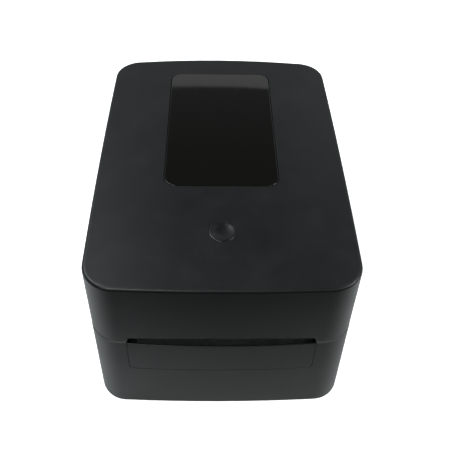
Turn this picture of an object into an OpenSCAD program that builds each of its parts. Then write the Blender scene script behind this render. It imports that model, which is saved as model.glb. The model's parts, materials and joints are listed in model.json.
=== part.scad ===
// Desktop label printer with a clamshell cover, built as separate nodes that share one frame.
// X runs to the right, -Y is the front where labels leave, Z is up and z = 0 is the table.

/* [Body] */
// Width over the rim of the base
body_w = 207.8; // [206:0.2:212]
// Depth over the rim of the base
body_d = 299.8; // [298:0.2:302]
// Height of the top face above the table
top_z = 156; // [156:1:160]
// Height of the parting line between base and cover
seam_z = 90.2; // [90:0.1:90.4]
// Plan radius of the four upright corners
corner_r = 26.2; // [20:0.2:28]
// Bow of the front face at the parting line
front_crown = 3.2; // [2:0.1:4]
// Bow of the front face at the top
top_crown = 2; // [1:0.1:3]
// Bow of the front face at the bottom
foot_crown = 2; // [1:0.1:4]
// Amount the plan corners tighten from rim to foot
foot_tighten = 3.4; // [0:0.2:6]
// Bow of the back face
back_crown = 4.6; // [3:0.1:5]
// Bow of each side face
side_crown = 1; // [0.5:0.1:1.5]
// Shell thickness of base and cover
wall = 2.5; // [2:0.1:2.8]
// Rounding round the top face
top_fillet = 2.5; // [1.5:0.1:3]
// Amount each cover wall leans in from seam to top
cover_draft = 1; // [0.5:0.1:2]

/* [Top face] */
// Width of the window
window_w = 95; // [80:1:98]
// Front edge of the window
window_y0 = -42.6; // [-44:0.2:-38]
// Rear edge of the window
window_y1 = 120.3; // [110:0.1:122]
// Corner radius of the window
window_r = 10.5; // [5:0.5:12]
// Height of the window face above the top face
window_rise = 0.4; // [0.2:0.1:0.6]
// Rounding round the window face
window_edge = 0.8; // [0.4:0.1:1]
// Position of the feed button along Y
button_y = -92.8; // [-94:0.2:-90]
// Radius of the feed button
button_r = 10.6; // [8:0.1:12]
// Radial clearance of the feed button in the cover
button_fit = 0.1; // [0.05:0.05:0.1]
// Travel of the feed button
button_travel = 1.2; // [0.8:0.1:1.4]

/* [Label path] */
// Half width of the label slot
slot_hw = 72.4; // [70:0.2:74]
// Height of the label slot above the parting line
slot_h = 6.4; // [6:0.1:9]
// Lower edge of the front panel
panel_z = 56.2; // [52:0.2:60]
// Radius of the platen roller
platen_r = 8; // [7.5:0.1:8]
// Radius of the platen shaft
shaft_r = 3; // [2.8:0.1:3.2]
// Gap between print head and platen
head_gap = 0.3; // [0.3:0.05:0.6]

/* [Gears] */
// Module of the drive gears
gear_m = 0.8; // [0.8:0.1:0.8]
// Teeth on the platen gear
platen_teeth = 30; // [30:1:30]
// Teeth on the reduction idler
idler_teeth = 44; // [44:1:44]
// Teeth on the motor pinion
motor_teeth = 14; // [14:1:14]
// Teeth on the ribbon idler
ribbon_teeth = 24; // [24:1:24]
// Teeth on the take-up gear
takeup_teeth = 34; // [34:1:34]
// Teeth on the guide pinion
guide_teeth = 16; // [16:1:16]
// Backlash between flanks
backlash = 0.2; // [0.15:0.05:0.3]

/* [Output] */
// Node to build, or all

/* [Hidden] */
$fn = 64;
body_y = -1.65;
front_y = body_y - body_d / 2;
rear_y = body_y + body_d / 2;
foot_h = 2;
base_z = foot_h;
floor_t = 3;
floor_z = base_z + floor_t;
base_fillet = 3;
rim_z = seam_z - 0.2;
cover_z = seam_z + 0.1;
cover_inset = 0.2;
lip_h = 2.4;
lip_in = 0.7;
top_inset = cover_inset + cover_draft;
top_t = 3;
top_in = top_z - top_t;
pane_gap = 0.4;
corner_steps = 10;
side_steps = 8;
slot_arch = 3.4;
slot_r = 3;

panel_out = -0.2;
panel_top = rim_z - 0.5;

// hinge
hinge_y = rear_y - 0.1;
hinge_r = 3.6;
pin_r = 1.5;
run = 0.06;
knuckle_x = 58;
knuckle_w = 8;
ear_w = 4;

// drive
plate_x = 70;
plate_t = 2;
gear_x = -80;
gear_w = 5;
platen_y = -128;
platen_z = 82.5;
platen_hw = 57;
idler_a = -53.8;
motor_a = -30.3;
mesh_gap = 0.05;
idler_d = gear_m * (platen_teeth + idler_teeth) / 2 + mesh_gap;
motor_d = gear_m * (idler_teeth + motor_teeth) / 2 + mesh_gap;
ribbon_d = gear_m * (platen_teeth + ribbon_teeth) / 2 + mesh_gap;
takeup_d = gear_m * (ribbon_teeth + takeup_teeth) / 2 + mesh_gap;
idler_y = platen_y + idler_d * cos(idler_a);
idler_z = platen_z + idler_d * sin(idler_a);
motor_y = idler_y + motor_d * cos(motor_a);
motor_z = idler_z + motor_d * sin(motor_a);
ribbon_a = 90;
takeup_a = 50;
ribbon_y = platen_y + ribbon_d * cos(ribbon_a);
ribbon_z = platen_z + ribbon_d * sin(ribbon_a);
takeup_y = ribbon_y + takeup_d * cos(takeup_a);
takeup_z = ribbon_z + takeup_d * sin(takeup_a);
platen_phase = 0;
idler_phase = mate(platen_phase, platen_teeth, idler_teeth, idler_a);
motor_phase = mate(idler_phase, idler_teeth, motor_teeth, motor_a);
ribbon_phase = mate(platen_phase, platen_teeth, ribbon_teeth, ribbon_a);
takeup_phase = mate(ribbon_phase, ribbon_teeth, takeup_teeth, takeup_a);
motor_size = 42;
motor_len = 34;

// media bay
bay_hw = 72;
bay_y0 = 8;
bay_y1 = 138;
tub_t = 2;
tub_floor = 7;
step_y = 118;
step_z = 29;
deck_z = 84.5;
deck_t = 2.5;
roll_y = 73;
roll_z = 70;
guide_x = 58;
guide_t = 3;
guide_m = 1;
guide_pinion_y = 22;
guide_r = guide_m * guide_teeth / 2 + mesh_gap;

// print unit in the cover
chassis_x = 66;
chassis_t = 2;
head_z = platen_z + platen_r + head_gap;
pivot_y = -98;
pivot_z = 99;
bracket_z = 98;
spring_y = -115;
bar_z = 102.4;
supply_y = -56;
supply_z = 118;

// latches
latch_y = -60;
latch_x = 93.5;
latch_z = 112;
release_z = 98;

// ---------- shared shapes ----------

function corner(cx, cy, r, a) =
  [for (i = [0 : corner_steps]) [cx + r * cos(a + 90 * i / corner_steps), cy + r * sin(a + 90 * i / corner_steps)]];
function bow_x(x0, x1, y, s) =
  [for (i = [1 : side_steps - 1]) let (t = i / side_steps) [x0 + (x1 - x0) * t, y + 4 * s * t * (1 - t)]];
function bow_y(y0, y1, x, s) =
  [for (i = [1 : side_steps - 1]) let (t = i / side_steps) [x + 4 * s * t * (1 - t), y0 + (y1 - y0) * t]];

// Plan outline of the body, drawn in by e from the rim of the base, with a front bow of c and
// corners tighter by t
function plan(e, c = front_crown, t = 0) =
  let (
    hw = body_w / 2 - e,
    r = max(corner_r - t - e, 2),
    cx = hw - side_crown - r,
    cf = front_y + e + c + r,
    cb = rear_y - e - back_crown - r
  )
  concat(
    corner(cx, cb, r, 0),
    bow_x(cx, -cx, cb + r, back_crown),
    corner(-cx, cb, r, 90),
    bow_y(cb, cf, -cx - r, -side_crown),
    corner(-cx, cf, r, 180),
    bow_x(-cx, cx, cf - r, -c),
    corner(cx, cf, r, 270),
    bow_y(cf, cb, cx + r, side_crown)
  );

// Solid through plan outlines at [height, inset, front bow, corner tightening] levels
function level_plan(l) = plan(l[1], len(l) > 2 ? l[2] : front_crown, len(l) > 3 ? l[3] : 0);
module loft(levels) {
  n = len(plan(0));
  m = len(levels);
  points = [for (l = levels) for (p = level_plan(l)) [p[0], p[1], l[0]]];
  walls = [
    for (k = [0 : m - 2]) for (i = [0 : n - 1])
      let (a = k * n + i, b = k * n + (i + 1) % n)
        each [[a, a + n, b + n], [a, b + n, b]]
  ];
  caps = [[for (i = [0 : n - 1]) i], [for (i = [n - 1 : -1 : 0]) (m - 1) * n + i]];
  polyhedron(points = points, faces = concat(caps, walls));
}

module at(x, y, z) {
  translate([x, y, z]) children();
}

// Box from one corner to the other
module box(a, b) {
  translate(a) cube([b[0] - a[0], b[1] - a[1], b[2] - a[2]]);
}

// Rod along X
module rod(x0, x1, y, z, r) {
  translate([x0, y, z]) rotate([0, 90, 0]) cylinder(r = r, h = x1 - x0);
}

// Plate of the YZ profile drawn with (y, z) points, between two X positions
module slab(x0, x1) {
  translate([x0, 0, 0]) rotate([90, 0, 90]) linear_extrude(height = x1 - x0) children();
}

// Rounded rectangle between two corners
module rounded(a, b, r) {
  w = b[0] - a[0];
  d = b[1] - a[1];
  translate([a[0] + r, a[1]]) square([w - 2 * r, d]);
  translate([a[0], a[1] + r]) square([w, d - 2 * r]);
  for (x = [a[0] + r, b[0] - r])
    for (y = [a[1] + r, b[1] - r])
      translate([x, y]) circle(r = r);
}

// Involute half thickness angle at radius r
function inv(a) = tan(a) * 180 / PI - a;
function half_tooth(n, m, r) =
  let (rp = m * n / 2, rb = rp * cos(20))
    90 / n - backlash / 2 / rp * 90 / PI + inv(20) - inv(acos(min(1, rb / max(r, rb))));
function bow_at(z) = foot_crown + (front_crown - foot_crown) * (z - base_z) / (rim_z - base_z);
function tight_at(z) = foot_tighten * (rim_z - z) / (rim_z - base_z);
function polar(r, a) = [r * cos(a), r * sin(a)];

// Gear outline with one tooth centred on the phase angle
module gear_outline(n, m, phase) {
  rp = m * n / 2;
  rf = rp - 1.25 * m;
  ra = rp + 0.95 * m;
  rb = max(rp * cos(20), rf + 0.02);
  steps = 3;
  rs = [for (i = [0 : steps]) rb + (ra - rb) * i / steps];
  polygon([
    for (i = [0 : n - 1])
      let (a = phase + 360 * i / n)
        each concat(
          [polar(rf, a - half_tooth(n, m, rb))],
          [for (r = rs) polar(r, a - half_tooth(n, m, r))],
          [for (k = [steps : -1 : 0]) polar(rs[k], a + half_tooth(n, m, rs[k]))],
          [polar(rf, a + half_tooth(n, m, rb))]
        )
  ]);
}

// Phase of a gear that meshes with another lying in direction a from it
function mate(phase, n1, n2, a) = a + 180 + 180 / n2 + (a - phase) * n1 / n2;

// Spur gear on an X axis at (y, z)
module spur(x0, x1, y, z, n, phase, bore) {
  difference() {
    translate([x0, y, z]) rotate([90, 0, 90]) linear_extrude(height = x1 - x0) gear_outline(n, gear_m, phase);
    rod(x0 - 1, x1 + 1, y, z, bore);
  }
}

// Pan-head screw with its head on top, head underside at z
module screw_down(x, y, z, r, length) {
  at(x, y, z) cylinder(r = r * 2, h = r * 1.1);
  at(x, y, z - length) cylinder(r = r, h = length + 0.01);
}

module screw_up(x, y, z, r, length) {
  at(x, y, z - r * 1.1) cylinder(r = r * 2, h = r * 1.1);
  at(x, y, z - 0.01) cylinder(r = r, h = length + 0.01);
}

module mirror_copy() {
  children();
  mirror([1, 0, 0]) children();
}

// ---------- base ----------

post_xy = [[91, -96], [91, 78], [-91, -96], [-91, 78]];

module panel_block(gap, below) {
  translate([0, front_y + 12, 0]) rotate([90, 0, 0]) linear_extrude(height = 20)
    rounded([-slot_hw - 0.6 - gap, panel_z - below], [slot_hw + 0.6 + gap, seam_z + 8], 3 + gap);
}

module knuckle_relief(x0, x1) {
  rod(x0, x1, hinge_y, seam_z, hinge_r + 0.3);
}

module base_case() {
  color([0.07, 0.07, 0.075])
  difference() {
    union() {
      difference() {
        loft([
          [base_z, base_fillet, foot_crown, foot_tighten],
          [base_z + base_fillet * 0.05, base_fillet * 0.69, foot_crown, foot_tighten],
          [base_z + base_fillet * 0.19, base_fillet * 0.41, foot_crown, foot_tighten],
          [base_z + base_fillet * 0.41, base_fillet * 0.19, foot_crown, foot_tighten],
          [base_z + base_fillet * 0.69, base_fillet * 0.05, foot_crown, foot_tighten],
          [base_z + base_fillet, 0, foot_crown, foot_tighten],
          [rim_z - 0.7, 0],
          [rim_z - 0.42, 0.06],
          [rim_z - 0.2, 0.2],
          [rim_z - 0.06, 0.42],
          [rim_z, 0.7]
        ]);
        loft([
          [floor_z, wall + 3, foot_crown, foot_tighten],
          [floor_z + 4, wall, foot_crown, foot_tighten],
          [rim_z + 1, wall]
        ]);
      }
      for (p = post_xy)
        at(p[0], p[1], floor_z - 1) cylinder(r = 4, h = deck_z - floor_z + 1);
      mirror_copy() {
        box([97.3, latch_y - 8, rim_z - 9.5], [body_w / 2 - 1.5, latch_y + 8, rim_z - 6.5]);
        rod(knuckle_x, knuckle_x + knuckle_w, hinge_y, seam_z, hinge_r);
        box([knuckle_x, rear_y - 4.4, seam_z - 9], [knuckle_x + knuckle_w, hinge_y + 1.5, seam_z - 1]);
      }
      for (y = [-80, 10, 90])
        box([85.6, y, floor_z - 1], [90, y + 4, 13]);
    }
    panel_block(0.4, 0.8);
    mirror_copy() {
      knuckle_relief(knuckle_x - ear_w - 0.5, knuckle_x - 0.001);
      knuckle_relief(knuckle_x + knuckle_w + 0.001, knuckle_x + knuckle_w + ear_w + 0.5);
      rod(knuckle_x - 5, knuckle_x + knuckle_w + 5, hinge_y, seam_z, pin_r);
      for (y = [-115, 112])
        at(82, y, base_z - 1) cylinder(r = 9, h = 2.2);
    }
    for (p = post_xy)
      at(p[0], p[1], deck_z - 12) cylinder(r = 1.5, h = 20);
    for (y = [-125, -68])
      mirror_copy() at(64.5, y, base_z + 0.6) cylinder(r = 1.5, h = 10);
    box([38.9, rear_y - 14, 8.6], [51.1, rear_y + 5, 19.8]);
    translate([20, rear_y + 5, 14.6]) rotate([90, 0, 0]) cylinder(r = 4.4, h = 20);
    box([-44.6, rear_y - 14, 8.4], [-25.4, rear_y + 5, 21.6]);
    box([-46.4, rear_y - 0.7, 6.6], [-23.6, rear_y + 5, 23.4]);
  }
}

module base_deck() {
  color([0.09, 0.09, 0.095])
  difference() {
    translate([0, 0, deck_z]) linear_extrude(height = deck_t) polygon(plan(wall + 0.7));
    box([-86, -160, deck_z - 1], [86, -112, deck_z + 5]);
    box([-bay_hw, bay_y0, deck_z - 1], [bay_hw, bay_y1, deck_z + 5]);
    box([-56, -101.5, deck_z - 1], [56, -90.5, deck_z + 5]);
    mirror_copy() {
      box([85, latch_y - 9, deck_z - 1], [110, latch_y + 9, deck_z + 5]);
      box([knuckle_x - 6, 139.5, deck_z - 1], [knuckle_x + 14, 160, deck_z + 5]);
    }
    for (p = post_xy)
      at(p[0], p[1], deck_z - 1) cylinder(r = 1.5, h = 5);
  }
}

module media_tub() {
  color([0.09, 0.09, 0.095])
  difference() {
    union() {
      box([-bay_hw - tub_t, bay_y0 - tub_t, floor_z], [bay_hw + tub_t, step_y + tub_t, deck_z]);
      box([-bay_hw - tub_t, step_y, step_z - tub_t], [bay_hw + tub_t, bay_y1 + tub_t, deck_z]);
    }
    box([-bay_hw, bay_y0, tub_floor], [bay_hw, step_y, deck_z + 1]);
    box([-bay_hw, step_y - 1, step_z], [bay_hw, bay_y1, deck_z + 1]);
    at(0, guide_pinion_y, floor_z - 1) cylinder(r = 3, h = 5);
  }
}

// Skin that follows the face of the base between insets e0 (outside) and e1 (inside)
module skin(z0, z1, e0, e1) {
  difference() {
    loft([[z0, e0, bow_at(z0), tight_at(z0)], [z1, e0, bow_at(z1), tight_at(z1)]]);
    loft([[z0 - 1, e1, bow_at(z0 - 1), tight_at(z0 - 1)], [z1 + 1, e1, bow_at(z1 + 1), tight_at(z1 + 1)]]);
  }
}

module front_panel() {
  back = wall + 0.1;
  color([0.07, 0.07, 0.075])
  union() {
    intersection() {
      difference() {
        loft([
          [panel_z - 5, panel_out, bow_at(panel_z - 5), tight_at(panel_z - 5)],
          [panel_top - 0.6, panel_out, bow_at(panel_top), tight_at(panel_top)],
          [panel_top - 0.2, panel_out + 0.1, bow_at(panel_top), tight_at(panel_top)],
          [panel_top, panel_out + 0.4, bow_at(panel_top), tight_at(panel_top)]
        ]);
        loft([
          [panel_z - 6, wall, bow_at(panel_z - 6), tight_at(panel_z - 6)],
          [panel_top - 2.2, wall, bow_at(panel_top), tight_at(panel_top)],
          [panel_top + 0.1, 0.8, bow_at(panel_top), tight_at(panel_top)]
        ]);
      }
      panel_block(0, 0);
    }
    intersection() {
      skin(panel_z - 4, rim_z - 0.5, wall - 0.1, wall + 1.6);
      box([-68, front_y - 2, panel_z + 3], [68, front_y + 12, rim_z - 5]);
    }
    intersection() {
      skin(panel_z - 4, rim_z - 0.5, back, wall + 1.6);
      mirror_copy() box([60, front_y - 2, panel_z + 6], [slot_hw + 3.5, front_y + 12, panel_z + 22]);
    }
  }
}

module rubber_feet() {
  color([0.05, 0.05, 0.05])
  for (x = [-82, 82])
    for (y = [-115, 112])
      at(x, y, 0) {
        cylinder(r = 7.6, h = 0.8);
        translate([0, 0, 0.8]) cylinder(r = 8.8, h = base_z + 0.4);
      }
}

module deck_screws() {
  color([0.55, 0.56, 0.58])
  for (p = post_xy)
    screw_down(p[0], p[1], deck_z + deck_t, 1.5, 10);
}

module main_board() {
  color([0.05, 0.28, 0.14])
  difference() {
    box([84, -86, 13], [85.6, 100, 76]);
    for (y = [-80, 94])
      for (z = [18, 71])
        rod(83, 87, y, z, 1.6);
  }
}

module board_parts() {
  color([0.12, 0.12, 0.13])
  union() {
    box([85.6, -60, 34], [87.4, -36, 58]);
    box([85.6, -20, 20], [87.2, -4, 32]);
    box([85.6, -20, 42], [87.2, -4, 54]);
    box([85.6, 12, 24], [95, 40, 34]);
    for (y = [52, 62])
      rod(85.6, 97, y, 50, 4);
    box([85.6, 50, 20], [94, 74, 28]);
    box([85.6, -78, 62], [92, -50, 68]);
  }
}

module io_board() {
  color([0.05, 0.28, 0.14])
  difference() {
    box([-8, step_y + 3, 7], [66, 139.4, 8.6]);
    for (x = [-4, 62])
      at(x, 126, 6) cylinder(r = 1.4, h = 4);
  }
}

module usb_port() {
  color([0.7, 0.7, 0.72])
  difference() {
    box([39, 129, 8.6], [51, rear_y - 1.2, 19.6]);
    box([40.4, 131, 10.2], [49.6, rear_y + 1, 18.4]);
  }
  color([0.7, 0.7, 0.72])
  box([42.6, 130, 13], [47.4, rear_y - 3.5, 15.6]);
}

module power_jack() {
  color([0.06, 0.06, 0.06])
  difference() {
    union() {
      box([15.5, 129, 8.6], [24.5, 141.5, 19.6]);
      translate([20, rear_y - 0.9, 14.6]) rotate([90, 0, 0]) cylinder(r = 4.3, h = 8);
    }
    translate([20, rear_y + 1, 14.6]) rotate([90, 0, 0]) cylinder(r = 3.1, h = 13);
  }
  color([0.6, 0.6, 0.62])
  translate([20, rear_y - 3, 14.6]) rotate([90, 0, 0]) cylinder(r = 1, h = 12);
}

rocker_y = rear_y + 0.2;

module rocker_housing() {
  color([0.05, 0.05, 0.05])
  difference() {
    union() {
      box([-44.4, rear_y - 17, 8.6], [-25.6, rear_y - 0.6, 21.4]);
      box([-46, rear_y - 0.6, 7], [-24, rocker_y + 1.4, 23]);
    }
    box([-42.4, rear_y - 12, 10], [-27.6, rocker_y + 3, 20]);
    translate([-35, rocker_y - 2, 6]) cylinder(r = 1.2, h = 18);
  }
}

module power_rocker() {
  color([0.04, 0.04, 0.04])
  union() {
    difference() {
      hull() {
        box([-36, rocker_y - 6, 10.3], [-34, rocker_y + 1.2, 19.7]);
        box([-41.6, rocker_y + 1, 10.3], [-40.6, rocker_y + 2.6, 19.7]);
        box([-29.4, rocker_y + 1, 10.3], [-28.4, rocker_y + 2.6, 19.7]);
      }
      translate([-35, rocker_y + 19.5, 9]) cylinder(r = 18.2, h = 12);
    }
    translate([-35, rocker_y - 2, 8.9]) cylinder(r = 1.1, h = 12.2);
  }
}

module plate_profile() {
  difference() {
    polygon([[-141.6, floor_z], [-56, floor_z], [-56, 66], [-70, 74], [-112.5, 74], [-114, 91], [-141.6, 91]]);
    translate([platen_y, platen_z]) circle(r = 5);
  }
}

module plate_left() {
  color([0.72, 0.73, 0.75])
  difference() {
    union() {
      slab(-plate_x - plate_t, -plate_x) plate_profile();
      box([-plate_x - 0.01, -136, floor_z], [-plate_x + 11, -60, floor_z + 1.6]);
      box([-plate_x - 0.01, -141.6, 72], [-plate_x + 6, -140, 86]);
    }
    rod(-80, -60, motor_y, motor_z, 11);
    rod(-80, -60, idler_y, idler_z, 2.5);
    for (y = [-1, 1])
      for (z = [-1, 1])
        rod(-80, -60, motor_y + y * 15.5, motor_z + z * 15.5, 1.5);
    for (y = [-125, -68])
      at(-64.5, y, 4) cylinder(r = 1.5, h = 4);
    rod(-80, -60, -96, 78, 0.5);
  }
}

module plate_right() {
  color([0.72, 0.73, 0.75])
  difference() {
    union() {
      slab(plate_x, plate_x + plate_t) plate_profile();
      box([plate_x - 11, -136, floor_z], [plate_x + 0.01, -60, floor_z + 1.6]);
      box([plate_x - 6, -141.6, 72], [plate_x + 0.01, -140, 86]);
    }
    for (y = [-125, -68])
      at(64.5, y, 4) cylinder(r = 1.5, h = 4);
    rod(60, 80, -88, 45, 14);
  }
}

module frame_screws() {
  color([0.55, 0.56, 0.58])
  for (x = [-64.5, 64.5])
    for (y = [-125, -68])
      screw_down(x, y, floor_z + 1.6, 1.5, 3.8);
  color([0.55, 0.56, 0.58])
  for (y = [-1, 1])
    for (z = [-1, 1]) {
      rod(-plate_x - plate_t - 1.6, -plate_x - plate_t, motor_y + y * 15.5, motor_z + z * 15.5, 2.6);
      rod(-plate_x - plate_t, -plate_x + 4, motor_y + y * 15.5, motor_z + z * 15.5, 1.5);
    }
}

module bush(x0, x1, f0, f1) {
  difference() {
    union() {
      rod(x0, x1, platen_y, platen_z, 5);
      rod(f0, f1, platen_y, platen_z, 6.4);
    }
    rod(-90, 90, platen_y, platen_z, shaft_r + 0.05);
  }
}

module bush_left() {
  color([0.85, 0.83, 0.76])
  bush(-plate_x - plate_t - 1.4, -plate_x + 1.5, -plate_x, -plate_x + 1.5);
}

module bush_right() {
  color([0.85, 0.83, 0.76])
  bush(plate_x - 1.5, plate_x + plate_t + 1.4, plate_x - 1.5, plate_x);
}

module platen_shaft() {
  color([0.78, 0.79, 0.8])
  rod(gear_x - 2, plate_x + plate_t + 4, platen_y, platen_z, shaft_r);
}

module platen_rubber() {
  color([0.06, 0.06, 0.06])
  difference() {
    rod(-platen_hw, platen_hw, platen_y, platen_z, platen_r);
    rod(-platen_hw - 1, platen_hw + 1, platen_y, platen_z, shaft_r);
  }
}

module platen_gear() {
  color([0.86, 0.85, 0.8])
  spur(gear_x, gear_x + gear_w, platen_y, platen_z, platen_teeth, platen_phase, shaft_r);
}

module idler_gear() {
  color([0.86, 0.85, 0.8])
  spur(gear_x, gear_x + gear_w, idler_y, idler_z, idler_teeth, idler_phase, 2.55);
}

module idler_post() {
  color([0.78, 0.79, 0.8])
  union() {
    rod(gear_x - 0.4, -plate_x, idler_y, idler_z, 2.5);
    rod(gear_x - 1.6, gear_x - 0.4, idler_y, idler_z, 4);
    rod(gear_x + gear_w + 0.4, -plate_x - plate_t, idler_y, idler_z, 3.1);
  }
}

module stepper_motor() {
  h = motor_size / 2;
  c = 4;
  color([0.2, 0.2, 0.21])
  difference() {
    union() {
      slab(-plate_x, -plate_x + motor_len) polygon([
        [motor_y - h + c, motor_z - h], [motor_y + h - c, motor_z - h], [motor_y + h, motor_z - h + c],
        [motor_y + h, motor_z + h - c], [motor_y + h - c, motor_z + h], [motor_y - h + c, motor_z + h],
        [motor_y - h, motor_z + h - c], [motor_y - h, motor_z - h + c]
      ]);
      rod(-plate_x - plate_t, -plate_x + 1, motor_y, motor_z, 10.9);
    }
    for (y = [-1, 1])
      for (z = [-1, 1])
        rod(-plate_x - 1, -plate_x + 5, motor_y + y * 15.5, motor_z + z * 15.5, 1.5);
    rod(-plate_x - 10, -plate_x + 20, motor_y, motor_z, 2.55);
  }
}

module motor_pinion() {
  color([0.78, 0.72, 0.45])
  union() {
    spur(gear_x, gear_x + gear_w, motor_y, motor_z, motor_teeth, motor_phase, 1);
    rod(gear_x - 1, -plate_x + 19, motor_y, motor_z, 2.5);
  }
}

module tear_bar() {
  teeth = 56;
  pitch = 2;
  color([0.72, 0.73, 0.75])
  translate([0, -141.6, 0]) rotate([90, 0, 0]) linear_extrude(height = 0.8)
    polygon(concat(
      [[teeth * pitch / 2, 88], [66, 88], [66, 76], [-66, 76], [-66, 88], [-teeth * pitch / 2, 88]],
      [for (i = [0 : teeth - 1]) each [[(i - teeth / 2) * pitch + 1, 89.4], [(i - teeth / 2) * pitch + 2, 88.2]]]
    ));
}

module sensor_rail() {
  color([0.78, 0.79, 0.8])
  union() {
    rod(-plate_x, plate_x, -96, 72, 2);
  }
}

module sensor_carriage() {
  color([0.1, 0.1, 0.11])
  difference() {
    union() {
      box([-7, -100, 68], [7, -92, 86.6]);
      box([-5, -99, 86.6], [5, -93, 86.9]);
    }
    rod(-9, 9, -96, 72, 2.06);
  }
}

// ---------- media guides ----------

module guide_body(rack_y, side) {
  difference() {
    union() {
      box([guide_x, 42, 12], [guide_x + guide_t, 104, 40]);
      slab(guide_x, guide_x + guide_t) polygon([[46, 39], [100, 39], [88, 96], [58, 96]]);
      rod(guide_x, guide_x + guide_t, roll_y, roll_z + 26, 15);
      box([guide_x, 12, 12], [guide_x + guide_t, 43, 18]);
      box([guide_x - 1, 96, tub_floor + 0.3], [guide_x + guide_t + 2, 104, 13]);
      box([guide_x, rack_y - 2, tub_floor + 0.4], [guide_x + guide_t, rack_y + 2, 13]);
      rod(guide_x - 12, guide_x + 1, roll_y, roll_z, 4);
    }
    rod(guide_x - 1, guide_x + guide_t + 1, roll_y, roll_z + 26, 8);
  }
}

// Toothed bar of a guide: teeth along X facing the pinion
module rack_bar(line_y, dir, shift) {
  p = PI * guide_m;
  n = 15;
  flat = p / 4 - backlash / 2;
  lean = guide_m * tan(20);
  translate([0, 0, tub_floor + 0.4]) linear_extrude(height = 3)
    polygon(concat(
      [[guide_x + 1, line_y + dir * 4.2], [guide_x + 1, line_y + dir * 1.25 * guide_m]],
      [
        for (i = [n : -1 : -1])
          let (c = shift + i * p)
            each [
              [c + flat + lean * 1.25, line_y + dir * 1.25 * guide_m],
              [c + flat - lean * 0.9, line_y - dir * 0.9 * guide_m],
              [c - flat + lean * 0.9, line_y - dir * 0.9 * guide_m],
              [c - flat - lean * 1.25, line_y + dir * 1.25 * guide_m]
            ]
      ],
      [[-6, line_y + dir * 1.25 * guide_m], [-6, line_y + dir * 4.2]]
    ));
}

module guide_right() {
  color([0.13, 0.13, 0.14])
  union() {
    guide_body(guide_pinion_y - guide_r - 2.6, 1);
    rack_bar(guide_pinion_y - guide_r, -1, 0);
  }
}

module guide_left() {
  color([0.13, 0.13, 0.14])
  mirror([1, 0, 0]) union() {
    guide_body(guide_pinion_y + guide_r + 2.6, -1);
    rack_bar(guide_pinion_y + guide_r, 1, 0);
  }
}

module guide_pinion() {
  color([0.86, 0.85, 0.8])
  union() {
    at(0, guide_pinion_y, tub_floor + 0.4) linear_extrude(height = 3)
      gear_outline(guide_teeth, guide_m, 90 + 180 / guide_teeth);
    at(0, guide_pinion_y, floor_z + 0.3) cylinder(r = 2.95, h = 3);
  }
}

module roll_hub_right() {
  color([0.13, 0.13, 0.14])
  difference() {
    union() {
      rod(guide_x - 2.3, guide_x - 0.3, roll_y, roll_z, 18);
      rod(guide_x - 11, guide_x - 2.2, roll_y, roll_z, 12);
      rod(guide_x - 13, guide_x - 11, roll_y, roll_z, 10.5);
    }
    rod(guide_x - 12.3, guide_x + 1, roll_y, roll_z, 4.06);
  }
}

module roll_hub_left() {
  color([0.13, 0.13, 0.14])
  mirror([1, 0, 0]) roll_hub_right();
}

// ---------- hinge ----------

module hinge_pins() {
  color([0.78, 0.79, 0.8])
  mirror_copy()
    rod(knuckle_x - ear_w, knuckle_x + knuckle_w + ear_w, hinge_y, seam_z, pin_r);
}

module cover_ear(x0, x1) {
  rod(x0, x1, hinge_y, seam_z, hinge_r);
  box([x0, rear_y - 4.4, seam_z + 0.6], [x1, hinge_y + 1.2, seam_z + 9]);
}

// ---------- cover ----------

retainer_xy = [[54.5, -30], [54.5, 39], [54.5, 108], [-54.5, -30], [-54.5, 39], [-54.5, 108]];
chassis_xy = [[72, -122], [72, -42], [-72, -122], [-72, -42]];

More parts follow.
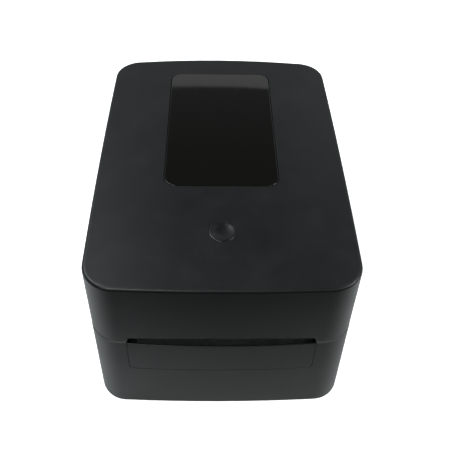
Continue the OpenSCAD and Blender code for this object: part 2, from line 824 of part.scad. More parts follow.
module cover_shell() {
  color([0.07, 0.07, 0.075])
  difference() {
    union() {
      difference() {
        loft([
          for (t = [0 : 0.25 : 1]) [cover_z + lip_h * t, cover_inset + lip_in * (1 - t) ^ 2],
          [top_z - top_fillet, top_inset, top_crown],
          [top_z - top_fillet * 0.69, top_inset + top_fillet * 0.05, top_crown],
          [top_z - top_fillet * 0.41, top_inset + top_fillet * 0.19, top_crown],
          [top_z - top_fillet * 0.19, top_inset + top_fillet * 0.41, top_crown],
          [top_z - top_fillet * 0.05, top_inset + top_fillet * 0.69, top_crown],
          [top_z, top_inset + top_fillet, top_crown]
        ]);
        loft([
          [cover_z - 1, cover_inset + wall],
          [top_in - 2, top_inset + wall, top_crown],
          [top_in, top_inset + wall + 2, top_crown]
        ]);
      }
      for (p = retainer_xy)
        at(p[0], p[1], top_in - 1.8) cylinder(r = 2.6, h = 2.3);
      for (p = chassis_xy)
        at(p[0], p[1], top_in - 5) cylinder(r = 4, h = 5.5);
      mirror_copy() {
        for (y = [latch_y - 10.4, latch_y + 7.4])
          box([89.5, y, latch_z - 5], [body_w / 2 - 2.6, y + 3, latch_z + 5]);
        cover_ear(knuckle_x - ear_w, knuckle_x - 0.15);
        cover_ear(knuckle_x + knuckle_w + 0.15, knuckle_x + knuckle_w + ear_w);
      }
      mirror_copy() at(16, button_y, top_in - 7) cylinder(r = 2.6, h = 7.5);
    }
    translate([0, front_y + 9, 0]) rotate([90, 0, 0]) linear_extrude(height = 20)
      polygon(concat(
        [[slot_hw, cover_z - 2]],
        [for (a = [0 : 15 : 75]) [
          slot_hw - slot_r + slot_r * cos(a), seam_z + slot_h - slot_r + slot_r * sin(a)
        ]],
        [for (i = [12 : -1 : -12]) let (x = i / 12) [
          (slot_hw - slot_r) * x, seam_z + slot_h + slot_arch * (1 - x * x)
        ]],
        [for (a = [105 : 15 : 180]) [
          -slot_hw + slot_r + slot_r * cos(a), seam_z + slot_h - slot_r + slot_r * sin(a)
        ]],
        [[-slot_hw, cover_z - 2]]
      ));
    translate([0, 0, top_in - 1]) linear_extrude(height = 8)
      rounded([-window_w / 2, window_y0], [window_w / 2, window_y1], window_r);
    at(0, button_y, top_in - 1) cylinder(r = button_r + button_fit, h = 8);
    mirror_copy() {
      box([95, latch_y - 13.3, release_z - 5.3], [110, latch_y + 13.3, release_z + 5.3]);
      knuckle_relief(knuckle_x - 0.15, knuckle_x + knuckle_w + 0.15);
      rod(knuckle_x - 5, knuckle_x + knuckle_w + 5, hinge_y, seam_z, pin_r + run);
      translate([latch_x, latch_y + 12, latch_z]) rotate([90, 0, 0]) cylinder(r = 1.5, h = 24);
      at(16, button_y, top_in - 8) cylinder(r = 0.9, h = 7);
    }
    for (p = retainer_xy)
      at(p[0], p[1], top_in - 3) cylinder(r = 1.1, h = 4);
    for (p = chassis_xy)
      at(p[0], p[1], top_in - 6) cylinder(r = 1.5, h = 7);
  }
}

// Leaf of the window pane, inset by e, with its top at z
module pane_leaf(z, e, h = 0.02) {
  translate([0, 0, z - h]) linear_extrude(height = h)
    rounded([-window_w / 2 + e, window_y0 + e], [window_w / 2 - e, window_y1 - e], window_r - e);
}

module window_pane() {
  color([0.05, 0.05, 0.055, 0.9])
  union() {
    pane_leaf(top_z + window_rise - window_edge, pane_gap, top_t + window_rise - window_edge);
    for (a = [0 : 15 : 75])
      hull()
        for (b = [a, a + 15])
          pane_leaf(top_z + window_rise - window_edge * (1 - sin(b)), pane_gap + window_edge * (1 - cos(b)));
    translate([0, 0, top_in - 1.8]) linear_extrude(height = 1.8)
      rounded([-window_w / 2 - 3, window_y0 - 3], [window_w / 2 + 3, window_y1 + 3], window_r + 3);
  }
}

module window_retainer() {
  color([0.12, 0.12, 0.13])
  difference() {
    translate([0, 0, top_in - 3.4]) linear_extrude(height = 1.6)
      rounded([-window_w / 2 - 10, window_y0 - 6], [window_w / 2 + 10, window_y1 + 6], window_r + 3);
    translate([0, 0, top_in - 5]) linear_extrude(height = 5)
      rounded([-window_w / 2 + 3.5, window_y0 + 3.5], [window_w / 2 - 3.5, window_y1 - 3.5], window_r - 3);
    for (p = retainer_xy)
      at(p[0], p[1], top_in - 5) cylinder(r = 1.1, h = 5);
  }
}

module window_screws() {
  color([0.55, 0.56, 0.58])
  for (p = retainer_xy)
    screw_up(p[0], p[1], top_in - 3.4, 1.1, 4);
}

module feed_button() {
  dish = 9;
  deep = 1.3;
  rim = top_z + 0.5;
  shoulder = 0.8;
  ball = (dish * dish + deep * deep) / (2 * deep);
  color([0.1, 0.1, 0.105])
  difference() {
    union() {
      at(0, button_y, 0) rotate_extrude()
        polygon(concat(
          [[0, top_z - 6], [button_r, top_z - 6]],
          [for (a = [0 : 10 : 90]) [
            button_r - (button_r - dish) * (1 - cos(a)), rim - shoulder * (1 - sin(a))
          ]],
          [[0, rim]]
        ));
      at(0, button_y, top_in - 1.7) cylinder(r = button_r + 1.6, h = 1.4);
      at(0, button_y, top_in - 4.6) cylinder(r = 2.4, h = 3);
    }
    at(0, button_y, rim + ball - deep) sphere(r = ball);
  }
}

module button_board() {
  color([0.05, 0.28, 0.14])
  difference() {
    union() {
      box([-20, button_y - 8, top_in - 8.6], [20, button_y + 8, top_in - 7]);
      box([-3, button_y - 3, top_in - 7.01], [3, button_y + 3, top_in - 6.1]);
    }
    for (x = [-16, 16])
      at(x, button_y, top_in - 10) cylinder(r = 0.9, h = 4);
  }
}

// ---------- print unit ----------

module chassis_profile() {
  difference() {
    polygon([
      [-143, 104], [-136, 93], [-90, 93], [-78, 98], [-36, 98], [-24, 108], [-24, 140], [-30, 148],
      [-134, 148], [-143, 138]
    ]);
    translate([takeup_y, takeup_z]) circle(r = 3.05);
    translate([supply_y, supply_z]) circle(r = 3.05);
    translate([pivot_y, pivot_z]) circle(r = 2);
    translate([-139.6, 108]) circle(r = 2);
  }
}

module chassis_right() {
  color([0.72, 0.73, 0.75])
  difference() {
    union() {
      slab(chassis_x, chassis_x + chassis_t) chassis_profile();
      box([chassis_x, -128, 146.4], [chassis_x + 11, -36, 148]);
    }
    for (p = chassis_xy)
      at(p[0], p[1], 140) cylinder(r = 1.5, h = 12);
  }
}

module chassis_left() {
  color([0.72, 0.73, 0.75])
  difference() {
    union() {
      mirror([1, 0, 0]) slab(chassis_x, chassis_x + chassis_t) chassis_profile();
      box([-chassis_x - 11, -128, 146.4], [-chassis_x, -36, 148]);
      rod(gear_x - 0.4, -chassis_x - chassis_t, ribbon_y, ribbon_z, 2.5);
      rod(gear_x + gear_w + 0.4, -chassis_x - chassis_t, ribbon_y, ribbon_z, 4);
    }
    for (p = chassis_xy)
      at(p[0], p[1], 140) cylinder(r = 1.5, h = 12);
  }
}

module chassis_screws() {
  color([0.55, 0.56, 0.58])
  for (p = chassis_xy)
    screw_up(p[0], p[1], 146.4, 1.5, 6);
}

module pressure_bar() {
  color([0.72, 0.73, 0.75])
  union() {
    box([-chassis_x, spring_y - 5, bar_z], [chassis_x, spring_y + 5, bar_z + 1.6]);
    box([-chassis_x, spring_y - 5, bar_z - 6], [-chassis_x + 1.6, spring_y + 5, bar_z + 0.1]);
    box([chassis_x - 1.6, spring_y - 5, bar_z - 6], [chassis_x, spring_y + 5, bar_z + 0.1]);
  }
}

module ribbon_bar() {
  color([0.78, 0.79, 0.8])
  union() {
    rod(-chassis_x - chassis_t, chassis_x + chassis_t, -139.6, 108, 2);
  }
}

module pivot_rod() {
  color([0.78, 0.79, 0.8])
  rod(-chassis_x - chassis_t, chassis_x + chassis_t, pivot_y, pivot_z, 2);
}

module head_bracket() {
  color([0.72, 0.73, 0.75])
  difference() {
    union() {
      box([-61, -134, bracket_z], [61, -103, bracket_z + 1.2]);
      mirror_copy() slab(59.4, 61) polygon([
        [-110, bracket_z], [-102, 95.5], [-95, 95.5], [-94, 99], [-96, 102.6], [-100, 102.6], [-104, bracket_z + 1.2],
        [-110, bracket_z + 1.2]
      ]);
    }
    rod(-63, 63, pivot_y, pivot_z, 2.06);
  }
}

module heat_sink() {
  color([0.66, 0.67, 0.69])
  difference() {
    box([-57, -133, head_z + 2], [57, -112, bracket_z]);
    for (y = [-130.5 : 3 : -114])
      box([-58, y, head_z + 3.6], [58, y + 1.4, bracket_z - 1.4]);
  }
}

module print_head() {
  color([0.85, 0.84, 0.8])
  union() {
    box([-56, -133, head_z + 0.5], [56, -114, head_z + 2]);
    slab(-54, 54) polygon([[-130.5, head_z + 0.51], [-129.5, head_z], [-126.5, head_z], [-125.5, head_z + 0.51]]);
  }
}

module head_springs() {
  color([0.6, 0.6, 0.62])
  for (x = [-36, 36])
    difference() {
      at(x, spring_y, bracket_z + 1.2) cylinder(r = 3.6, h = bar_z - bracket_z - 1.2);
      at(x, spring_y, bracket_z) cylinder(r = 2.8, h = 6);
    }
}

// Ribbon core holder on the right: flange, ribbed core and stub
module hub_body(y, z, stub) {
  union() {
    rod(63.2, 65.2, y, z, 9);
    rod(50, 63.3, y, z, 4.4);
    box([50, y - 6.1, z - 1], [63.3, y + 6.1, z + 1]);
    box([50, y - 1, z - 6.1], [63.3, y + 1, z + 6.1]);
    rod(65.1, stub, y, z, 3);
  }
}

module supply_hub_right() {
  color([0.86, 0.85, 0.8])
  hub_body(supply_y, supply_z, 71);
}

module supply_hub_left() {
  color([0.86, 0.85, 0.8])
  mirror([1, 0, 0]) hub_body(supply_y, supply_z, 71);
}

module takeup_hub_right() {
  color([0.86, 0.85, 0.8])
  hub_body(takeup_y, takeup_z, 71);
}

module takeup_hub_left() {
  color([0.86, 0.85, 0.8])
  mirror([1, 0, 0]) hub_body(takeup_y, takeup_z, 82);
}

module takeup_gear() {
  color([0.86, 0.85, 0.8])
  spur(gear_x, gear_x + gear_w, takeup_y, takeup_z, takeup_teeth, takeup_phase, 3);
}

module ribbon_gear() {
  color([0.86, 0.85, 0.8])
  spur(gear_x, gear_x + gear_w, ribbon_y, ribbon_z, ribbon_teeth, ribbon_phase, 2.55);
}

// ---------- latches ----------

module latch_body() {
  difference() {
    union() {
      translate([latch_x, latch_y + 7, latch_z]) rotate([90, 0, 0]) cylinder(r = 3, h = 14);
      box([latch_x - 1.5, latch_y - 7, 75.5], [latch_x + 1.5, latch_y + 7, latch_z - 1]);
      translate([0, latch_y + 7, 0]) rotate([90, 0, 0]) linear_extrude(height = 14)
        polygon([[latch_x - 1, 75.5], [latch_x + 1.2, 75.5], [97, 77.6], [97, 79], [latch_x - 1, 79]]);
    }
  }
  translate([latch_x, latch_y + 10.4, latch_z]) rotate([90, 0, 0]) cylinder(r = 1.44, h = 20.8);
}

module latch_right() {
  color([0.1, 0.1, 0.11])
  latch_body();
}

module latch_left() {
  color([0.1, 0.1, 0.11])
  mirror([1, 0, 0]) latch_body();
}

module release_body() {
  hw = 13;
  union() {
    box([97.8, latch_y - hw, release_z - 5], [body_w / 2 - 0.2, latch_y + hw, release_z + 5]);
    box([97.8, latch_y - hw - 3, release_z - 7], [99.2, latch_y + hw + 3, release_z + 7]);
    box([95.3, latch_y - 5, release_z - 1], [98.5, latch_y + 5, release_z + 1]);
  }
}

module release_right() {
  color([0.1, 0.1, 0.105])
  release_body();
}

module release_left() {
  color([0.1, 0.1, 0.105])
  mirror([1, 0, 0]) release_body();
}

// ---------- output ----------

base_case();
base_deck();
media_tub();
front_panel();
rubber_feet();
deck_screws();
main_board();
board_parts();
io_board();
usb_port();
power_jack();
rocker_housing();
power_rocker();
plate_left();
plate_right();
frame_screws();
bush_left();
bush_right();
platen_shaft();
platen_rubber();
platen_gear();
idler_gear();
idler_post();
stepper_motor();
motor_pinion();
tear_bar();
sensor_rail();
sensor_carriage();
guide_left();
guide_right();
guide_pinion();
roll_hub_left();
roll_hub_right();
hinge_pins();
cover_shell();
window_pane();
window_retainer();
window_screws();
feed_button();
button_board();
chassis_left();
chassis_right();
chassis_screws();
pressure_bar();
ribbon_bar();
pivot_rod();
head_bracket();
heat_sink();
print_head();
head_springs();
supply_hub_left();
supply_hub_right();
takeup_hub_left();
takeup_hub_right();
takeup_gear();
ribbon_gear();
latch_left();
latch_right();
release_left();
release_right();
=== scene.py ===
import json
import math

import bpy
from mathutils import Matrix, Vector

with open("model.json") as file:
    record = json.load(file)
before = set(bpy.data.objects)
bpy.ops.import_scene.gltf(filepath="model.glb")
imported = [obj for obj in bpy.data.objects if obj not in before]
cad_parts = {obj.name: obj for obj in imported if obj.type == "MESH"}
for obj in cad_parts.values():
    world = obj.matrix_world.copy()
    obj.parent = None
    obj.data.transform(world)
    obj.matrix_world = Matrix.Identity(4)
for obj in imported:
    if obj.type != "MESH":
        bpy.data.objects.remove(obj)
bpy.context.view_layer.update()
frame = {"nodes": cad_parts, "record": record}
nodes = frame["nodes"]
scene = bpy.context.scene

X, Y, Z = 0, 1, 2


def middle(name, axis):
    """Middle of a CAD node along an axis."""
    places = [v.co[axis] for v in nodes[name].data.vertices]
    return (min(places) + max(places)) / 2


# ---------------------------------------------------------------- camera
# Fitted to the outline, window, slot and seam of the photographed printer.
PHOTO_PX = 452
FOCAL_PX = 633.49
FILM_MM = 36
EYE = Vector((-0.009577, -0.42019, 0.50428))
PITCH, YAW, ROLL = -0.8074, 0.0371, 0.0306


def add_camera():
    """Looks down on the printer from the front, as the photograph does."""
    ahead = Vector((math.sin(YAW) * math.cos(PITCH), math.cos(YAW) * math.cos(PITCH), math.sin(PITCH)))
    level = Vector((math.cos(YAW), -math.sin(YAW), 0))
    upright = level.cross(ahead)
    right = level * math.cos(ROLL) + upright * math.sin(ROLL)
    up = -level * math.sin(ROLL) + upright * math.cos(ROLL)
    optics = bpy.data.cameras.new("view")
    optics.sensor_width = FILM_MM
    optics.lens = FOCAL_PX / PHOTO_PX * FILM_MM
    optics.clip_start, optics.clip_end = 0.01, 50
    camera = bpy.data.objects.new("view", optics)
    scene.collection.objects.link(camera)
    place = Matrix((right, up, -ahead)).transposed().to_4x4()
    place.translation = EYE
    camera.matrix_world = place
    scene.camera = camera


add_camera()


# ---------------------------------------------------------------- node helpers
MOST = (0.3, 0.7)  # most of a noise texture's values lie between these


class Nodes:
    """A small builder for the node tree of a material or of the world."""

    def __init__(self, owner, coordinates="Object", output="ShaderNodeOutputMaterial"):
        owner.use_nodes = True
        self.owner = owner
        self.tree = owner.node_tree
        self.tree.nodes.clear()
        self.out = self.add(output)
        self.coord = self.add("ShaderNodeTexCoord").outputs[coordinates]

    def add(self, kind, **values):
        """A new node, with its properties and inputs set by name."""
        n = self.tree.nodes.new(kind)
        for key, v in values.items():
            if hasattr(n, key):
                setattr(n, key, v)
            else:
                self.put(n.inputs[key.replace("_", " ")], v)
        return n

    def put(self, socket, v):
        if isinstance(v, bpy.types.NodeSocket):
            self.tree.links.new(v, socket)
        else:
            socket.default_value = v

    def scaled(self, sx, sy, sz):
        n = self.add("ShaderNodeMapping", Vector=self.coord, Scale=(sx, sy, sz))
        return n.outputs["Vector"]

    def split(self, vector):
        """The three outputs X, Y and Z of a vector."""
        return self.add("ShaderNodeSeparateXYZ", Vector=vector).outputs

    def noise(self, scale, detail=2.0, rough=0.5, vector=None):
        n = self.add("ShaderNodeTexNoise", Scale=scale, Detail=detail, Roughness=rough,
                     Vector=vector or self.coord)
        return n.outputs["Fac"]

    def cells(self, scale):
        """Distance to the nearest of many scattered points."""
        return self.add("ShaderNodeTexVoronoi", Scale=scale, Vector=self.coord).outputs["Distance"]

    def cell_tones(self, scale):
        """One random value for each of many scattered cells."""
        cell = self.add("ShaderNodeTexVoronoi", Scale=scale, Vector=self.coord)
        return self.add("ShaderNodeRGBToBW", Color=cell.outputs["Color"]).outputs["Val"]

    def remap(self, v, a, b, c, d):
        """Turns a to b into c to d, and stays at c and d outside."""
        n = self.add("ShaderNodeMapRange", Value=v, From_Min=a, From_Max=b, To_Min=c, To_Max=d)
        return n.outputs["Result"]

    def drift(self, low, high, scale, detail=3.0):
        """A value that wanders from low to high over the surface."""
        return self.remap(self.noise(scale, detail), *MOST, low, high)

    def math(self, op, a, b=0.0):
        n = self.add("ShaderNodeMath", operation=op)
        self.put(n.inputs[0], a)
        self.put(n.inputs[1], b)
        return n.outputs[0]

    def plus(self, a, b):
        return self.math("ADD", a, b)

    def times(self, a, b):
        return self.math("MULTIPLY", a, b)

    def either(self, a, b):
        return self.math("MAXIMUM", a, b)

    def mix(self, share, a, b):
        """Colour a, with a share of colour b."""
        n = self.add("ShaderNodeMix", data_type="RGBA")
        self.put(n.inputs["Factor"], share)
        for key, colour in (("A", a), ("B", b)):
            self.put([i for i in n.inputs if i.name == key and i.type == "RGBA"][0], colour)
        return [o for o in n.outputs if o.type == "RGBA"][0]

    def bump(self, height, distance, strength, edge=None):
        """Surface relief, over edges that look rounded to the radius edge."""
        n = self.add("ShaderNodeBump", Strength=strength, Distance=distance, Height=height)
        if edge:
            bevel = self.add("ShaderNodeBevel", samples=4, Radius=edge)
            self.put(n.inputs["Normal"], bevel.outputs["Normal"])
        return n.outputs["Normal"]

    def shader(self, **values):
        n = self.add("ShaderNodeBsdfPrincipled", **values)
        self.put(self.out.inputs["Surface"], n.outputs["BSDF"])
        return self.owner


def material(name):
    return Nodes(bpy.data.materials.new(name))


def grey(v, tint=0.0):
    return (v * (1 - tint), v, v * (1 + tint), 1.0)


# ---------------------------------------------------------------- materials
DUST = (0.30, 0.29, 0.28, 1)
SPECK = (0.32, 0.31, 0.30, 1)
# Colour of the painted highlight along the parting edges of the cover and the base, standing in for the
# light that their rounded edges catch.
LIP_HIGHLIGHT = (0.068, 0.071, 0.071, 1)
RIM_Z, COVER_Z = 0.0900, 0.0903  # the parting edges of the base and of the cover


def settled_dust(m, amount):
    """Specks and a thin film of dust on faces that look up."""
    up = m.remap(m.split(m.add("ShaderNodeNewGeometry").outputs["Normal"])["Z"], 0.6, 0.95, 0.0, 1.0)
    specks = m.remap(m.noise(900.0, 2.0, 0.7), 0.74, 0.80, 0.0, 1.0)
    film = m.remap(m.noise(30.0, 5.0, 0.65), 0.45, 0.8, 0.0, 0.25)
    return m.times(m.times(m.plus(specks, film), up), amount)


def moulded(name, base, rough, grain=2600.0, depth=0.000018, edge=0.00035, tint=0.03, dust=0.5,
            spec=0.5, lip=None):
    """Moulded ABS: spark-eroded grain, slight flow variation, softened edges and a trace of dust.

    lip is the height at which the painted highlight along the parting edge is palest, and the height at
    which it has faded.
    """
    m = material(name)
    patch = m.noise(46.0, 4.0, 0.6)
    dusty = settled_dust(m, dust)
    tones = grey(base * 0.85, tint), grey(base * 1.18, tint)
    flow = m.mix(m.remap(m.noise(grain * 0.4), 0.35, 0.65, 0.0, 1.0), *tones)
    colour = m.mix(m.times(dusty, 0.12), flow, DUST)
    # Painted highlight: the parting edge is coloured paler, standing in for the light that its rounded edge
    # catches.
    if lip:
        painted_highlight = m.remap(m.split(m.coord)["Z"], *lip, 1.0, 0.0)
        colour = m.mix(m.times(painted_highlight, m.remap(patch, *MOST, 0.7, 1.0)), colour, LIP_HIGHLIGHT)
    broad = m.remap(m.noise(9.0, 3.0, 0.55), *MOST, rough - 0.03, rough + 0.03)
    roughness = m.plus(m.plus(broad, m.remap(patch, *MOST, -0.018, 0.018)), m.times(dusty, 0.06))
    relief = m.plus(m.times(m.noise(grain, 3.0, 0.6), 0.7), m.times(m.cells(grain * 0.55), 0.5))
    return m.shader(Base_Color=colour, Roughness=roughness, Specular_IOR_Level=spec,
                    Normal=m.bump(relief, depth, 1.0, edge))


def polished(name, base, rough, spec):
    """Polished smoked plastic: wiping haze, hairline scratches both ways and a few specks."""
    m = material(name)
    across = m.remap(m.noise(1.0, 2.0, 0.7, m.scaled(26, 1500, 26)), 0.68, 0.74, 0.0, 1.0)
    along = m.remap(m.noise(1.0, 2.0, 0.7, m.scaled(1300, 30, 30)), 0.70, 0.76, 0.0, 1.0)
    scratches = m.either(across, along)
    haze = m.remap(m.noise(16.0, 5.0, 0.6), 0.35, 0.75, rough, rough + 0.03)
    wipes = m.remap(m.noise(1.0, 3.0, 0.6, m.scaled(420, 14, 14)), 0.4, 0.8, 0.0, 0.02)
    roughness = m.plus(m.plus(haze, wipes), m.times(scratches, 0.10))
    specks = m.remap(m.noise(700.0, 2.0, 0.7), 0.76, 0.80, 0.0, 0.10)
    relief = m.plus(m.noise(22.0), m.times(scratches, -0.05))
    return m.shader(Base_Color=m.mix(specks, grey(base, -0.08), SPECK), Roughness=roughness,
                    Specular_IOR_Level=spec, Normal=m.bump(relief, 0.00002, 0.5, 0.0003))


def rubber(name, base, rough, ground=False):
    """Rubber with a little chalk in it: moulded, or ground round as a roller is."""
    m = material(name)
    if ground:
        relief = m.plus(m.noise(1.0, vector=m.scaled(5200, 900, 900)), m.times(m.noise(2400.0), 0.5))
        depth = 0.00003
    else:
        relief = m.noise(1900.0, 3.0, 0.6)
        depth = 0.00004
    chalk = m.remap(m.noise(60.0, 4.0, 0.6), 0.4, 0.8, 0.0, 0.2)
    return m.shader(Base_Color=m.mix(chalk, grey(base), grey(base * 2.6 + 0.01)),
                    Roughness=m.drift(rough - 0.06, rough + 0.06, 70.0),
                    Normal=m.bump(relief, depth, 1.0, 0.0004))


def metal(name, base, rough, along, streak=1.0, spots=0.0, warm=0.0):
    """Rolled, ground or plated metal with fine streaks along one axis.

    streak is how much they vary the roughness, spots the strength of a zinc coat's spangle, and
    warm the strength of a yellow tint.
    """
    m = material(name)
    scales = [2600.0] * 3
    scales[along] = 40.0
    lines = m.noise(1.0, 3.0, 0.6, m.scaled(*scales))
    dull = (base * 0.6, base * 0.6, base * 0.62, 1)
    bright = (base * (1 + warm), base, base * (1 - warm * 1.4), 1)
    colour = m.mix(m.remap(lines, *MOST, 0.82, 1.05), dull, bright)
    if spots:
        spangle = m.remap(m.cell_tones(260.0), 0.2, 0.8, 0.0, spots)
        colour = m.mix(spangle, colour, grey(base * 0.55, 0.03))
    streaks = m.remap(lines, *MOST, rough - 0.05 * streak, rough + 0.08 * streak)
    clouds = m.remap(m.noise(38.0, 4.0, 0.6), *MOST, -0.04, 0.05)
    return m.shader(Base_Color=colour, Metallic=1.0, Roughness=m.plus(streaks, clouds),
                    Normal=m.bump(lines, 0.000006, 0.7, 0.0002))


def acetal(name):
    """Natural acetal, with grime in places."""
    m = material(name)
    milky = m.mix(m.drift(0.0, 1.0, 120.0), (0.7254, 0.6992, 0.616, 1), (0.78, 0.76, 0.70, 1))
    grime = m.remap(m.noise(420.0, 4.0, 0.7), 0.55, 0.8, 0.0, 0.35)
    return m.shader(Base_Color=m.mix(grime, milky, (0.34, 0.31, 0.26, 1)),
                    Roughness=m.drift(0.30, 0.42, 300.0),
                    Subsurface_Weight=0.15, Subsurface_Scale=0.002,
                    Normal=m.bump(m.noise(1800.0), 0.00001, 0.8, 0.00015))


def circuit(name):
    """Solder-masked board: copper lines under the mask, and bare round vias."""
    m = material(name)
    tracks = m.add("ShaderNodeTexBrick", offset=0.35, Scale=1.0, Vector=m.scaled(420, 420, 420),
                   Mortar_Size=0.03).outputs["Fac"]
    vias = m.remap(m.cells(330.0), 0.06, 0.10, 1.0, 0.0)
    mask = m.mix(m.drift(0.0, 1.0, 90.0), (0.008, 0.075, 0.035, 1), (0.014, 0.11, 0.05, 1))
    mask = m.mix(m.times(tracks, 0.7), mask, (0.03, 0.19, 0.09, 1))
    return m.shader(Base_Color=m.mix(vias, mask, (0.62, 0.56, 0.40, 1)),
                    Roughness=m.remap(vias, 0.0, 1.0, 0.28, 0.4), Metallic=m.times(vias, 0.9),
                    Normal=m.bump(m.plus(m.times(tracks, 0.5), vias), 0.00004, 0.8))


def parts_black(name):
    """Black mouldings of many small parts, each in its own tone."""
    m = material(name)
    tone = m.remap(m.cell_tones(60.0), 0.2, 0.8, 0.0, 1.0)
    return m.shader(Base_Color=m.mix(tone, grey(0.02, 0.03), grey(0.05, 0.03)),
                    Roughness=m.drift(0.4, 0.6, 400.0),
                    Normal=m.bump(m.noise(2600.0, 3.0), 0.00002, 1.0, 0.0003))


def ceramic(name):
    """Print head: pale glaze with a thin brown heater line, right above the platen."""
    m = material(name)
    away = m.math("ABSOLUTE", m.math("SUBTRACT", m.split(m.coord)["Y"], middle("platen_rubber", Y)))
    heater = m.remap(away, 0.0005, 0.0008, 1.0, 0.0)
    glaze = m.mix(m.drift(0.0, 1.0, 200.0), (0.70, 0.68, 0.62, 1), (0.80, 0.79, 0.74, 1))
    return m.shader(Base_Color=m.mix(heater, glaze, (0.10, 0.05, 0.03, 1)),
                    Roughness=m.drift(0.12, 0.22, 500.0, 2.0),
                    Normal=m.bump(m.noise(1500.0), 0.000008, 0.6, 0.0002))


def laminated(name):
    """Motor body: painted laminations."""
    m = material(name)
    sheets = m.add("ShaderNodeTexWave", wave_type="BANDS", bands_direction="X", Scale=1.0,
                   Vector=m.scaled(320, 1, 1)).outputs["Fac"]
    relief = m.plus(sheets, m.times(m.noise(1400.0), 0.4))
    return m.shader(Base_Color=m.mix(m.times(sheets, 0.5), grey(0.02), grey(0.055)), Metallic=0.3,
                    Roughness=m.drift(0.35, 0.5, 300.0), Normal=m.bump(relief, 0.00006, 0.8, 0.0003))


HOUSING = dict(spec=0.3, tint=0.04)
SLOT_LOOKS = {
    "window_smoke": polished("window_smoke", 0.0055, 0.01, 0.24),
    "button_black": moulded("button_black", 0.0045, 0.33, grain=3200.0, depth=0.00001, edge=0.00025,
                            dust=0.3, spec=0.3),
    "inner_black": moulded("inner_black", 0.05, 0.52, grain=1700.0, depth=0.00003, dust=0.8),
    "foot_rubber": rubber("foot_rubber", 0.012, 0.78),
    "platen_rubber": rubber("platen_rubber", 0.13, 0.62, ground=True),
    "steel_sheet": metal("steel_sheet", 0.62, 0.34, Y, spots=0.4),
    "steel_rod": metal("steel_rod", 0.66, 0.20, X, streak=0.6),
    "screw_steel": metal("screw_steel", 0.55, 0.30, Z, streak=0.7, warm=0.02),
    "gear_acetal": acetal("gear_acetal"),
    "pinion_brass": metal("pinion_brass", 0.60, 0.26, X, warm=0.22),
    "motor_steel": laminated("motor_steel"),
    "board_green": circuit("board_green"),
    "parts_black": parts_black("parts_black"),
    "socket_steel": metal("socket_steel", 0.60, 0.28, Y),
    "sink_alloy": metal("sink_alloy", 0.58, 0.36, X, streak=1.2),
    "head_ceramic": ceramic("head_ceramic"),
}
NODE_LOOKS = {
    # The cover and the base get a painted highlight along their parting edges.
    "cover_shell": moulded("cover_black", 0.006, 0.36, lip=(COVER_Z + 0.0003, COVER_Z + 0.0019), **HOUSING),
    "base_case": moulded("base_black", 0.006, 0.36, lip=(RIM_Z - 0.0001, RIM_Z - 0.0011), **HOUSING),
    "front_panel": moulded("panel_black", 0.0062, 0.37, **HOUSING),
    "tear_bar": metal("tear_steel", 0.21, 0.6, Y, spots=0.4),
}
SLOT = {s["node"]: s["material_slot"] for s in frame["record"]["subparts"]}


# ---------------------------------------------------------------- shading of the CAD meshes
SMOOTH_BELOW = math.radians(27)
SAME_POINT = 2e-6  # metres
FACE_WEIGHT = 80  # large faces count for more in the shading normals


def smoothing_group():
    """Merges a mesh's coincident points, and leaves hard only the edges sharper than SMOOTH_BELOW."""
    group = bpy.data.node_groups.new("smooth_27", "GeometryNodeTree")
    for way in ("INPUT", "OUTPUT"):
        group.interface.new_socket("Geometry", in_out=way, socket_type="NodeSocketGeometry")
    link = group.links.new
    start, end = group.nodes.new("NodeGroupInput"), group.nodes.new("NodeGroupOutput")
    merge = group.nodes.new("GeometryNodeMergeByDistance")
    merge.inputs["Distance"].default_value = SAME_POINT
    faces = group.nodes.new("GeometryNodeSetShadeSmooth")
    faces.domain = "FACE"
    edges = group.nodes.new("GeometryNodeSetShadeSmooth")
    edges.domain = "EDGE"
    angle = group.nodes.new("GeometryNodeInputMeshEdgeAngle")
    shallow = group.nodes.new("FunctionNodeCompare")
    shallow.data_type = "FLOAT"
    shallow.operation = "LESS_THAN"
    shallow.inputs[1].default_value = SMOOTH_BELOW
    link(start.outputs[0], merge.inputs["Geometry"])
    link(merge.outputs["Geometry"], faces.inputs["Geometry"])
    link(faces.outputs["Geometry"], edges.inputs["Geometry"])
    link(angle.outputs["Unsigned Angle"], shallow.inputs[0])
    link(shallow.outputs["Result"], edges.inputs["Shade Smooth"])
    link(edges.outputs["Geometry"], end.inputs[0])
    return group


def dress(piece, smoothing, look):
    """Smooths a CAD node and gives it its material."""
    mesh = piece.data
    if mesh.has_custom_normals:
        with bpy.context.temp_override(object=piece, active_object=piece, mesh=mesh):
            bpy.ops.mesh.customdata_custom_splitnormals_clear()
    piece.modifiers.new("smooth", "NODES").node_group = smoothing
    weighted = piece.modifiers.new("weighted", "WEIGHTED_NORMAL")
    weighted.keep_sharp = True
    weighted.weight = FACE_WEIGHT
    mesh.materials.clear()
    mesh.materials.append(look)


smoothing = smoothing_group()
for name, piece in nodes.items():
    dress(piece, smoothing, NODE_LOOKS.get(name) or SLOT_LOOKS[SLOT[name]])


# ---------------------------------------------------------------- floor
FLOOR_SIDE = 8
FLOOR_WHITE = 0.8
# In front of the printer, the floor darkens between these Y for every ray but the camera's, as the
# photograph's front wall shows.
DARK_FROM, DARK_TO = -0.15, -0.29
# What is added for the camera grows from near the printer to far from it.
NEAR, FAR = 0.5, 1.5
GLOW_NEAR, GLOW_FAR = 0.84, 1.0


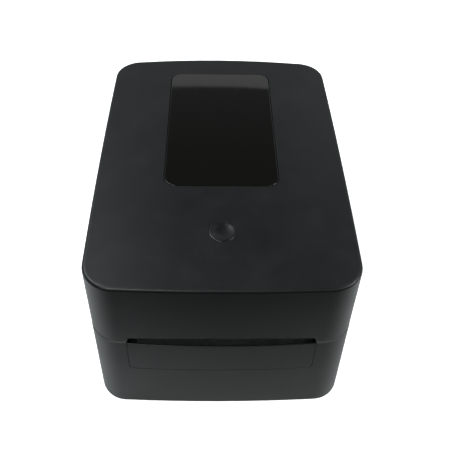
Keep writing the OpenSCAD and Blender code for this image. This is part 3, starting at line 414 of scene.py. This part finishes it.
def add_floor():
    """White floor: it clips to white where it is open and keeps a trace of the object's shadow."""
    bpy.ops.mesh.primitive_plane_add(size=FLOOR_SIDE, location=(0, 0, 0))
    floor = bpy.context.object
    floor.name = "floor"
    m = material("floor_white")
    seen = m.add("ShaderNodeLightPath").outputs["Is Camera Ray"]
    lit = m.remap(m.split(m.coord)["Y"], DARK_TO, DARK_FROM, 0.0, FLOOR_WHITE)
    matt = m.add("ShaderNodeBsdfDiffuse", Color=m.mix(seen, lit, grey(FLOOR_WHITE)))
    away = m.add("ShaderNodeVectorMath", operation="LENGTH")
    m.put(away.inputs[0], m.coord)
    open_floor = m.remap(away.outputs["Value"], NEAR, FAR, GLOW_NEAR, GLOW_FAR)
    glow = m.add("ShaderNodeEmission", Color=grey(1.0), Strength=m.times(seen, open_floor))
    both = m.add("ShaderNodeAddShader")
    m.put(both.inputs[0], matt.outputs[0])
    m.put(both.inputs[1], glow.outputs[0])
    m.put(m.out.inputs["Surface"], both.outputs[0])
    floor.data.materials.append(m.owner)


add_floor()


# ---------------------------------------------------------------- world and lamps
COOL = (0.93, 1.0, 1.035)
NEUTRAL = (0.95, 1.0, 0.99)
# Heights in the world are sines of the angle above the floor.
STRIP_LOW, STRIP_LOW_SOFT = 0.485, 0.02
STRIP_TOP, STRIP_TOP_SOFT = 0.5566, 0.002
HALO, HALO_HEIGHT = 0.12, 0.10
WALL = 0.148
ROOM = 0.004
BEHIND_FULL = 0.2


def add_world():
    """Studio: behind, a white strip at 29 to 34 degrees over a dim wall; a dark room elsewhere.

    The printer's window and top mirror it. The camera sees plain white all round, and metal and
    glass see it in the strip.
    """
    world = bpy.data.worlds.new("studio")
    scene.world = world
    m = Nodes(world, "Generated", "ShaderNodeOutputWorld")
    way = m.split(m.coord)
    under_top = m.remap(way["Z"], STRIP_TOP - STRIP_TOP_SOFT, STRIP_TOP + STRIP_TOP_SOFT, 1.0, 0.0)
    over_low = m.remap(way["Z"], STRIP_LOW - STRIP_LOW_SOFT, STRIP_LOW + STRIP_LOW_SOFT, 0.0, 1.0)
    halo = m.remap(way["Z"], STRIP_TOP, STRIP_TOP + HALO_HEIGHT, HALO, 0.0)
    lit = m.times(under_top, over_low)
    strip = m.either(lit, halo)
    wall = m.times(m.math("SUBTRACT", 1.0, over_low), WALL)
    behind = m.remap(way["Y"], 0.0, BEHIND_FULL, 0.0, 1.0)
    level = m.plus(m.times(behind, m.plus(strip, wall)), ROOM)
    studio = m.add("ShaderNodeBackground", Color=(*COOL, 1), Strength=level)
    white = m.add("ShaderNodeBackground", Color=grey(1.0), Strength=1.0)
    ray = m.add("ShaderNodeLightPath").outputs
    mirrored = m.either(ray["Is Glossy Ray"], ray["Is Transmission Ray"])
    seen = m.add("ShaderNodeMixShader")
    m.put(seen.inputs[0], m.either(ray["Is Camera Ray"], m.times(mirrored, m.times(behind, lit))))
    m.put(seen.inputs[1], studio.outputs[0])
    m.put(seen.inputs[2], white.outputs[0])
    m.put(m.out.inputs["Surface"], seen.outputs[0])


AIM = Vector((0, 0, 0.1))


def area(name, place, side, watts, colour):
    """Square soft box that faces the middle of the object."""
    light = bpy.data.lights.new(name, "AREA")
    light.shape = "SQUARE"
    light.size = side
    light.energy = watts
    light.color = colour
    lamp = bpy.data.objects.new(name, light)
    scene.collection.objects.link(lamp)
    lamp.location = place
    lamp.rotation_euler = (AIM - Vector(place)).to_track_quat("-Z", "Y").to_euler()
    lamp.visible_camera = False


add_world()
area("left_front", (-0.84, -1.45, 0.99), 0.9, 4.1, NEUTRAL)
area("right_front", (0.84, -1.45, 0.99), 0.9, 3.3, NEUTRAL)
area("left_key", (-0.55, -0.96, 1.52), 0.5, 12.1, NEUTRAL)
area("right_key", (0.91, -0.64, 1.52), 0.4, 0.6, NEUTRAL)
area("right_side", (1.62, -0.43, 0.99), 0.9, 21.9, NEUTRAL)
area("left_high", (-1.05, -0.28, 1.66), 0.9, 5.5, COOL)
area("left_rear", (-0.94, 0.54, 1.66), 0.9, 16.8, COOL)
area("right_rear", (0.94, 0.54, 1.66), 0.9, 3.4, COOL)
area("left_back", (-0.85, 1.35, 1.75), 0.8, 2.3, COOL)
area("right_back", (0.8, 1.7, 1.4), 0.7, 0.9, COOL)

scene.view_settings.view_transform = "Standard"
